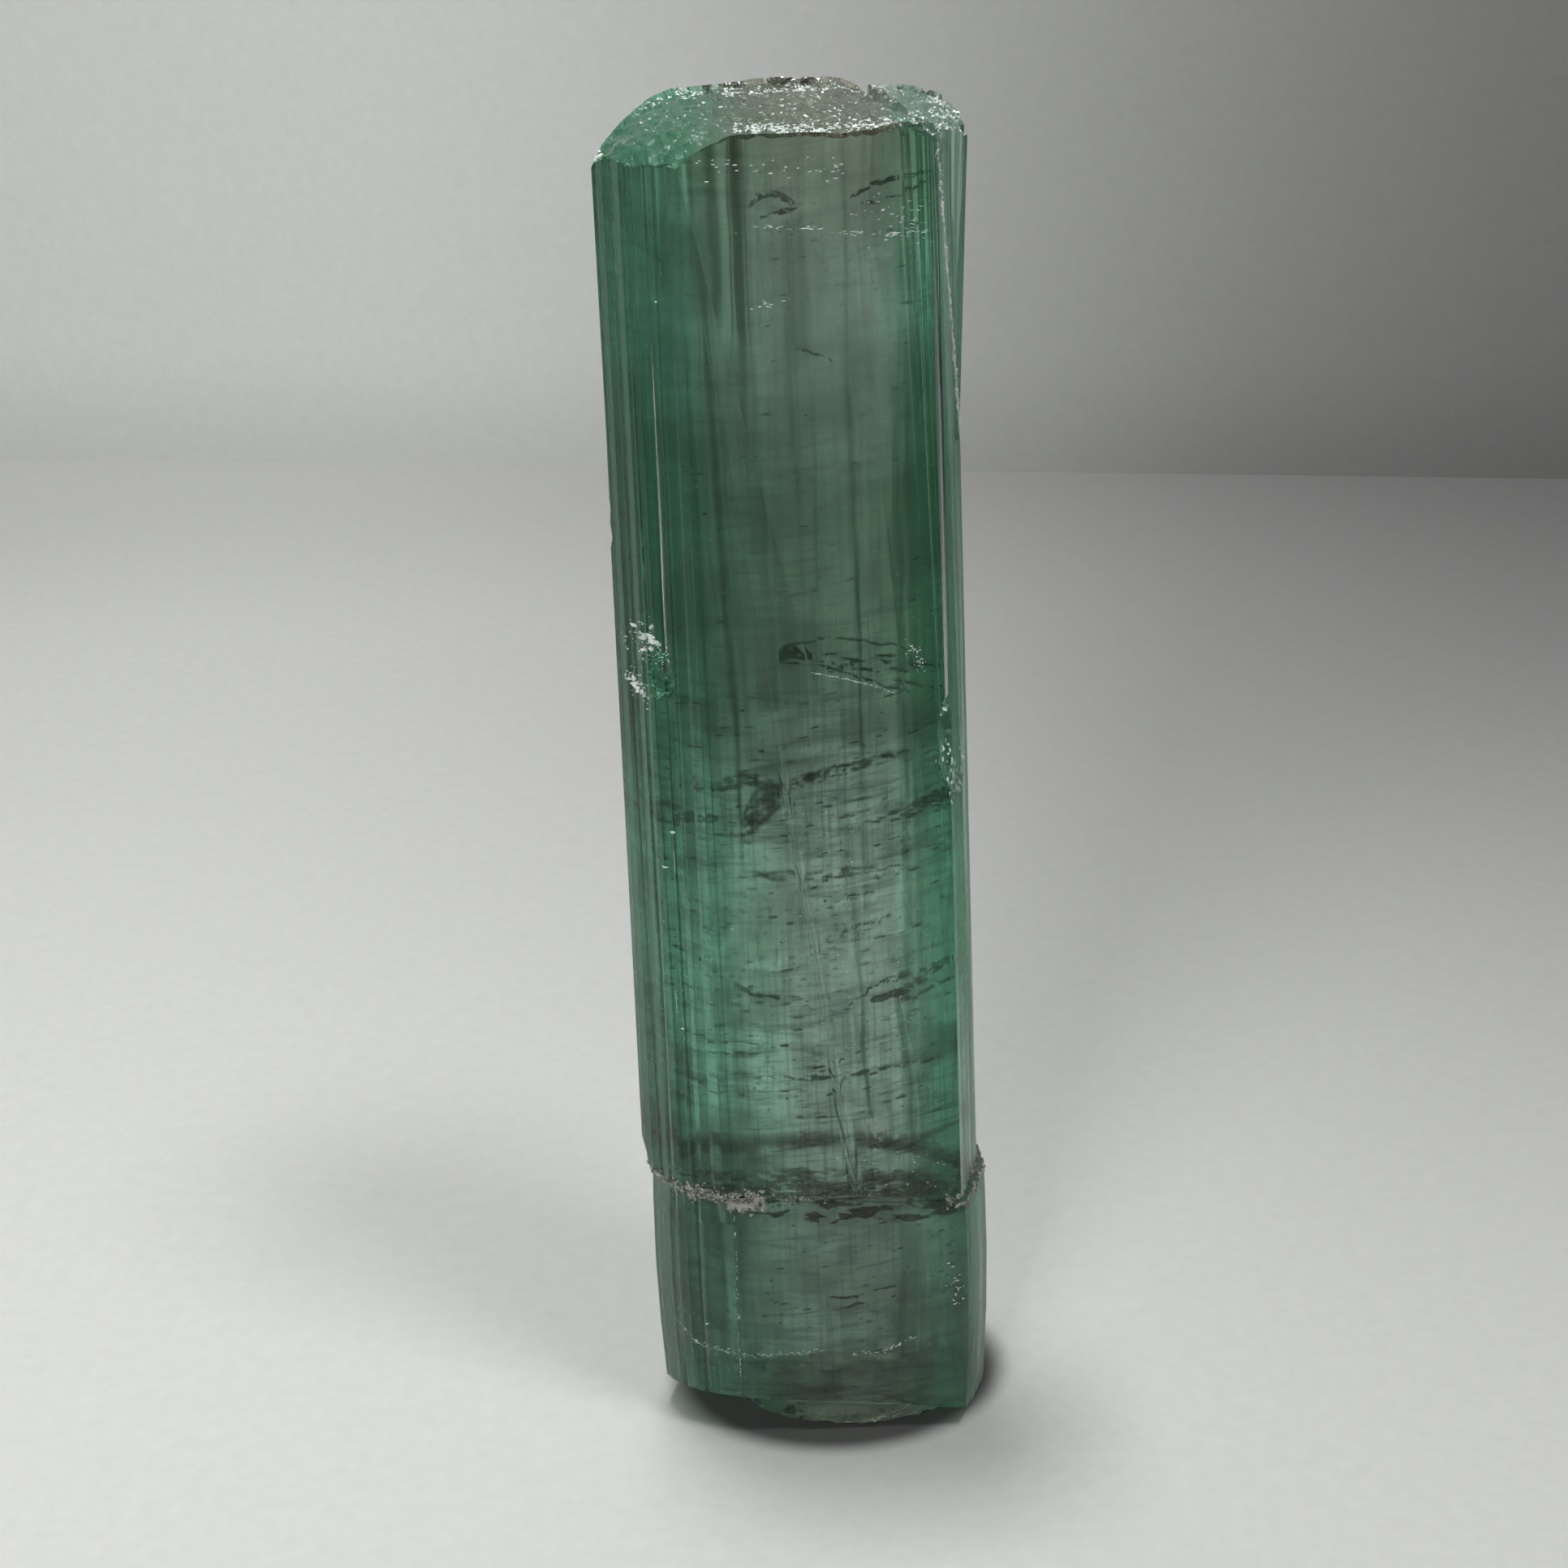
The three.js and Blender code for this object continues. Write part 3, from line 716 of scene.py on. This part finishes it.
def bedded(point, outward, size, chance, lean=0.35):
    """A matrix that lays a flat grain of a size in mm on a surface, a little askew."""
    flat = outward.to_track_quat("Z", "Y").to_matrix().to_4x4()
    askew = (Matrix.Rotation(chance.gauss(0, lean), 4, "X")
             @ Matrix.Rotation(chance.gauss(0, lean), 4, "Y"))
    return Matrix.Translation(point) @ flat @ askew @ Matrix.Diagonal((*(Vector(size) * MM), 1))


def crusted(chance, count, lift, scatter, grain, across=None):
    """Crust grains along the healed break: over a span of x on the front, or on sides and back."""
    places = []
    for _ in range(count):
        if across:
            where = {"x": chance.uniform(*across)}
        else:
            where = {"bearing": chance.uniform(*SIDES_AND_BACK)}
        above = surface_at(SEAM_MIDDLE + CAST_LIFT, **where)
        if above:
            level = seam_level(*(above[0].xy / MM)) + lift + chance.gauss(0, scatter)
            found = surface_at(level, **where)
            size = [chance.uniform(0.3, 1) * grain for _ in range(3)]
            if found:
                places.append(bedded(*found, size, chance, 1))
    return places


# How many grains, how far over the middle of the break and how scattered, their size, all in mm,
# and the span of x on the front that they lie in
CRUST = [
    (2400, 0.0, 0.13, 0.21),
    (330, 0.04, 0.16, 0.12, (-5.4, -3.9)),
    (460, 0.06, 0.16, 0.14, (-4.2, -2.6)),
    (520, -0.06, 0.19, 0.16, (-2.9, -1.7)),
    (120, 0.02, 0.1, 0.09, (-1.9, 0.4)),
    (200, 0.0, 0.14, 0.13, (4.2, 5.3)),
]
chance = random.Random(23)
crust = [place for row in CRUST for place in crusted(chance, *row)]
made_one("seam_crust", [strewn(chip(6, 0.25), crust)],
         earthy("beige_crust", (0.12, 0.125, 0.1), (0.5, 0.505, 0.44)))


def across_the_break(places, y, lift=0.0):
    """A path across the crystal at a depth and a lift over the healed break, in mm."""
    return [(x, y, seam_level(x, y) + lift) for x in places]


middle_path = across_the_break((-5.0, -3.4, -1.7, 0.0, 1.7, 3.4, 5.0), -1.75)
low_path = across_the_break((-2.4, -0.6, 1.2, 3.0, 4.8), -1.3, -0.75)
front_path = across_the_break((-4.6, -3.0, -1.5, 0.0, 1.5, 3.0, 4.7), -2.9, 0.1)
inner_path = [(x, y + 1.6, z + 0.05) for x, y, z in front_path]
made_one("seam_filling", [film(middle_path, 4.0, 0.05, (1.5, 2.2, 3), -2),
                          film(low_path, 3.6, 0.05, (1.3, 1.6, 3), 12)],
         earthy("dark_filling", (0.1, 0.18, 0.13), (0.35, 0.42, 0.33)))
made_one("seam_dust", [film(front_path, 1.6, -0.08, (2.6, 3.4, 3), 6),
                       film(inner_path, 1.2, 0.1, rise=2)],
         earthy("beige_dust", (0.35, 0.34, 0.28), (0.85, 0.8, 0.7)))


# --- Broken edges -------------------------------------------------------------------------------
# Painted glints: small pale flecks laid on the surface and lit straight by the lamps, standing in
# for the light that the breaks catch. They lie along the ridges of the broken top, in the chips at
# both edges of the front face, on the shoulder of the side crystal and where it meets the main one,
# and where fine cracks reach the front face.
RIDGE_TRIES = 15000
GLINTS_FROM = 12 * MM
HIGHEST_GLINT = 43.88
FLECK_THICKNESS = 0.03
# Paths of x and z in mm, how many painted glints, their scatter in x and z, the spans of their
# width and height in mm and, where it differs, how far they lean
EDGE_GLINTS = [
    # Chips at the left edge of the front face
    ([(-4.5, 28.9), (-4.2, 28.4)], 24, (0.13, 0.18), (0.16, 0.32), (0.06, 0.18), 0.15),
    ([(-4.7, 28.8), (-4.2, 28.1)], 110, (0.24, 0.28), (0.03, 0.12), (0.015, 0.05)),
    ([(-5.0, 27.2), (-4.75, 26.85)], 20, (0.1, 0.13), (0.12, 0.24), (0.06, 0.16), 0.25),
    ([(-5.0, 27.3), (-4.6, 26.8)], 90, (0.16, 0.2), (0.03, 0.1), (0.015, 0.06)),
    ([(-5.2, 28.5), (-5.1, 28.2)], 8, (0.05, 0.15), (0.05, 0.12), (0.04, 0.1)),
    # Notch and streaks at the right edge
    ([(4.35, 25.2), (4.7, 24.2), (4.9, 23.4)], 60, (0.12, 0.3), (0.03, 0.08), (0.08, 0.3)),
    # Where the side crystal meets the front face
    ([(4.42, 43.0), (4.6, 40.6), (4.8, 38.2), (4.95, 36.0), (5.09, 34.2)],
     420, (0.015, 0.1), (0.03, 0.06), (0.1, 0.35)),
    ([(5.45, 39.6), (5.35, 35.4)], 26, (0.05, 0.3), (0.04, 0.1), (0.04, 0.12)),
    # Lower edge and right end of the lens crack
    ([(0.3, 27.8), (1.3, 27.56), (2.2, 27.3), (2.9, 27.0)],
     90, (0.02, 0.012), (0.03, 0.09), (0.01, 0.02), 0.1),
    ([(3.2, 28.5), (3.6, 28.3), (3.7, 27.7)], 44, (0.08, 0.12), (0.02, 0.07), (0.015, 0.04)),
    # Arc and upright line near the base
    ([(-5.0, 4.1), (-4.0, 3.4), (-2.1, 3.3), (0.0, 3.4)],
     110, (0.02, 0.04), (0.03, 0.12), (0.01, 0.025)),
    ([(0.9, 3.2), (2.1, 3.3), (3.1, 3.85)], 40, (0.02, 0.04), (0.03, 0.1), (0.015, 0.03)),
    ([(-2.7, 8.8), (-2.76, 2.4)], 40, (0.012, 0.1), (0.012, 0.025), (0.05, 0.2)),
    ([(4.3, 6.0), (4.7, 5.3)], 24, (0.15, 0.25), (0.03, 0.12), (0.02, 0.06)),
    # Level line and glints near the top
    ([(-0.95, 41.2), (0.9, 41.05), (2.7, 40.84), (4.1, 40.88)],
     60, (0.05, 0.04), (0.05, 0.2), (0.015, 0.03)),
    ([(-2.0, 42.85), (-1.2, 42.95), (-0.2, 42.8), (1.3, 42.6), (1.7, 42.65)],
     36, (0.2, 0.14), (0.04, 0.16), (0.02, 0.05)),
    ([(2.4, 41.4), (4.1, 40.9)], 46, (0.35, 0.35), (0.04, 0.14), (0.015, 0.04)),
    ([(-0.95, 38.9), (-0.1, 39.0)], 14, (0.2, 0.08), (0.04, 0.14), (0.015, 0.04)),
    # Fine glints over the cloudy part and above the healed break
    ([(-4.6, 18.0), (-2.0, 19.2), (0.6, 20.6), (1.7, 18.0), (3.5, 16.2)],
     90, (0.7, 1.6), (0.02, 0.08), (0.012, 0.03)),
    ([(1.0, 10.9), (4.2, 10.4)], 34, (0.5, 0.3), (0.02, 0.09), (0.015, 0.04)),
]


# The colour of the painted glints: pale green to white
def glinting():
    material, tree, gloss = new_material("painted_glint")
    shade = pattern(tree, 3000, Detail=4)
    colour = ramp(tree, shade, [(0.36, (0.55, 0.75, 0.66)), (0.56, grey(1))])
    feed(tree, gloss.inputs["Base Color"], colour)
    gloss.inputs["Roughness"].default_value = 0.16
    feed(tree, gloss.inputs["Normal"], bumped(tree, shade, 0.02 * MM))
    return material


def flecks(chance, path, count, scatter, width, height, lean=0.35):
    """Painted glint flecks along a path of x and z places in mm on the front of the crystal."""
    path = [Vector(at) for at in path]
    places = []
    for _ in range(count):
        reach = chance.random() * (len(path) - 1)
        i = min(int(reach), len(path) - 2)
        x, z = path[i].lerp(path[i + 1], reach - i)
        found = surface_at(z + chance.gauss(0, scatter[1]), x + chance.gauss(0, scatter[0]))
        if found:
            size = (chance.uniform(*width), chance.uniform(*height), FLECK_THICKNESS)
            places.append(bedded(*found, size, chance, lean))
    return places


def takes_glints(face):
    return is_broken(face) and face.center.z > GLINTS_FROM


def scattered_on(piece, chosen, tries, chance):
    """Points of a mesh spread evenly over its chosen faces, each with the face's normal."""
    faces = [face for face in piece.data.polygons if chosen(face)]
    areas = [face.area for face in faces]
    for face in chance.choices(faces, areas, k=tries):
        corners = [piece.data.vertices[index].co for index in face.vertices]
        shares = [-math.log(1 - chance.random()) for _ in corners]
        point = sum((corner * share for corner, share in zip(corners, shares)), Vector())
        yield point / sum(shares), face.normal


def catches_light(x, y, z):
    """How thickly the painted glints lie at a place in mm, from 0 to 1."""
    if z > HIGHEST_GLINT:
        return 0
    if z > TOP_BREAK_FROM / MM:
        front_ridge = max(0, 1 - abs(y + 2.95) / 0.8) * (x > -1.2)
        back_ridge = max(0, 1 - abs(y - 2.4) / 1.1) * (x < 2.5)
        edges = 0.5 if x > 4.4 or x < -5.0 else 0.0
        return max(1.3 * front_ridge, 0.6 * back_ridge, edges, 0.05 if x > -1.5 else 0.015)
    return 0.12 if z > 20 else 0.04


chance = random.Random(31)
ridge_glints = []
for point, outward in scattered_on(crystal, takes_glints, RIDGE_TRIES, chance):
    x, y, z = point / MM
    cluster = 0.5 + 1.5 * noise.noise(point / MM * 1.9)
    if chance.random() < catches_light(x, y, z) * cluster:
        size = (chance.uniform(0.06, 0.24), chance.uniform(0.02, 0.08), FLECK_THICKNESS)
        ridge_glints.append(bedded(point, outward, size, chance, 0.45))

edge_glints = [place for row in EDGE_GLINTS for place in flecks(chance, *row)]
# One piece of painted glints on the top's ridges, the chips and the edges
made_one("painted_glints",
         [strewn(chip(9, 0.25), ridge_glints), strewn(chip(10, 0.25), edge_glints)], glinting())


# --- Weathered boss -----------------------------------------------------------------------------
# The rounded boss that the crystal stands on has a dull grey-beige weathered skin. It is a thin
# shell over the broken base, with a ragged upper edge.
SKIN_STANDS = 0.012 * MM
SKIN_TO = 1.45
SKIN_REACH = (3.75, 3.45)

boss = crystal.copy()
boss.data = crystal.data.copy()
boss.vertex_groups.clear()
boss.name = "boss"
bpy.context.collection.objects.link(boss)
work_on(boss)
bpy.context.tool_settings.mesh_select_mode = (False, False, True)
bpy.ops.object.mode_set(mode="EDIT")
bpy.ops.mesh.select_all(action="DESELECT")
bpy.ops.object.mode_set(mode="OBJECT")
for face in boss.data.polygons:
    x, y, z = face.center / MM
    ragged = SKIN_TO + 0.3 * noise.noise(Vector((x, y, z)) * 1.4)
    reach = math.hypot((x - BOSS_MIDDLE) / SKIN_REACH[0], y / SKIN_REACH[1])
    face.select = not (z < ragged and reach < 1)
bpy.ops.object.mode_set(mode="EDIT")
bpy.ops.mesh.delete(type="FACE")
bpy.ops.object.mode_set(mode="OBJECT")
skin = boss.modifiers.new("skin", "SOLIDIFY")
skin.thickness = SKIN_STANDS
skin.offset = 1
bpy.ops.object.modifier_apply(modifier=skin.name)
for vertex in boss.data.vertices:
    vertex.co.z = max(vertex.co.z, 0)
made_one("weathered_boss", [boss], earthy("weathered_skin", (0.8, 0.68, 0.6), (1.0, 0.92, 0.85)))


# --- Paper --------------------------------------------------------------------------------------
# Plain pale paper under the crystal, and a second sheet stood up behind it, a little turned. The
# fall of the light towards the far right corner, the crease between the sheets and the close shadow
# round the crystal's foot are painted shade in the paper's colour.
WALL_AT = 101 * MM
WALL_TURN = math.radians(-9.7)
WALL_HEIGHT = 120 * MM
SHEET_REACH = 1.2
# The painted shadow round the crystal's foot: its stretch across, its middle, and the span in mm
# over which it deepens
FOOT_STRETCH = 1.2
FOOT_MIDDLE = 0.45 * MM
FOOT_SHADE = (5.2, 4.2)


def paper(name, colour, shades):
    """Matt paper, darkened by each painted shade in turn: two shares from 0 to 1 and how dark it
    gets.
    """
    material, tree, gloss = new_material(name)
    gloss.inputs["Roughness"].default_value = 0.9
    fibres = pattern(tree, 1500, Detail=3, Roughness=0.6)
    tone = ramp(tree, fibres, [(0.3, [level * 0.95 for level in colour]), (0.7, colour)])
    for across, along, depth in shades(tree, *place_on(tree)):
        share = worked(tree, "MULTIPLY", worked(tree, "MULTIPLY", across, along), depth)
        tone = blended(tree, share, tone, (0, 0, 0))
    feed(tree, gloss.inputs["Base Color"], tone)
    return material


def over(tree, value, low, high):
    """A share from 0 to 1 over a span in mm."""
    return spread(tree, value, low * MM, high * MM)


def floor_shades(tree, x, y, _):
    """Painted shade over the floor: the fall of the light, the crease by the wall and the close
    shadow round the crystal's foot.
    """
    off_foot = tree.nodes.new("ShaderNodeVectorMath")
    off_foot.operation = "LENGTH"
    across = worked(tree, "MULTIPLY_ADD", x, 1 / FOOT_STRETCH, -FOOT_MIDDLE)
    feed(tree, off_foot.inputs[0], joined(tree, across, y, 0.0))
    foot = over(tree, off_foot.outputs["Value"], *FOOT_SHADE)
    return [(over(tree, y, -12, -70), 1.0, 0.5), (over(tree, y, -30, 85), 1.0, 0.28),
            (foot, 1.0, 0.86), (over(tree, x, -40, 60), over(tree, y, -40, 85), 0.62),
            (over(tree, y, 70, 100), 1.0, 0.15)]


# Painted shade on the wall: darker towards the right and down towards the floor.
def wall_shades(tree, x, _, z):
    return [(over(tree, x, -30, 58), 1.0, 0.6), (over(tree, z, 9, 0), 1.0, 0.12)]


bpy.ops.mesh.primitive_plane_add(size=SHEET_REACH, location=(0, 0, 0))
floor = bpy.context.object
floor.name = "paper_floor"
floor.data.materials.append(paper("floor_paper", (0.84, 0.85, 0.83), floor_shades))
bpy.ops.mesh.primitive_plane_add(size=1, location=(0, WALL_AT, WALL_HEIGHT / 2),
                                 rotation=(math.pi / 2, 0, WALL_TURN),
                                 scale=(SHEET_REACH, WALL_HEIGHT, 1))
wall = bpy.context.object
wall.name = "paper_wall"
bpy.ops.object.transform_apply(location=True, rotation=True, scale=True)
wall.data.materials.append(paper("wall_paper", (0.6, 0.61, 0.59), wall_shades))


# --- Lights -------------------------------------------------------------------------------------
# A soft light high above and just behind, a weaker one from the right, one on the wall, and even
# light all round.
def soft_light(name, place, aim, size, power):
    bpy.ops.object.light_add(type="AREA", location=place)
    lamp = bpy.context.object
    lamp.name = name
    lamp.data.size = size
    lamp.data.energy = power
    lamp.rotation_euler = (Vector(aim) - Vector(place)).to_track_quat("-Z", "Y").to_euler()


soft_light("sky_light", (-0.012, 0.018, 0.27), (-0.01, -0.005, 0), 0.03, 0.28)
soft_light("side_light", (0.07, -0.055, 0.22), (-0.005, 0, 0), 0.04, 0.13)
soft_light("wall_light", (-0.10, -0.20, 0.16), (-0.04, 0.10, 0.02), 0.1, 0.05)
bpy.context.object.data.spread = math.radians(50)
world = bpy.data.worlds.new("even_light")
bpy.context.scene.world = world
world.use_nodes = True
world.node_tree.nodes["Background"].inputs["Color"].default_value = (0.8, 0.82, 0.85, 1)
world.node_tree.nodes["Background"].inputs["Strength"].default_value = 0.05
bpy.context.scene.view_settings.view_transform = "Standard"
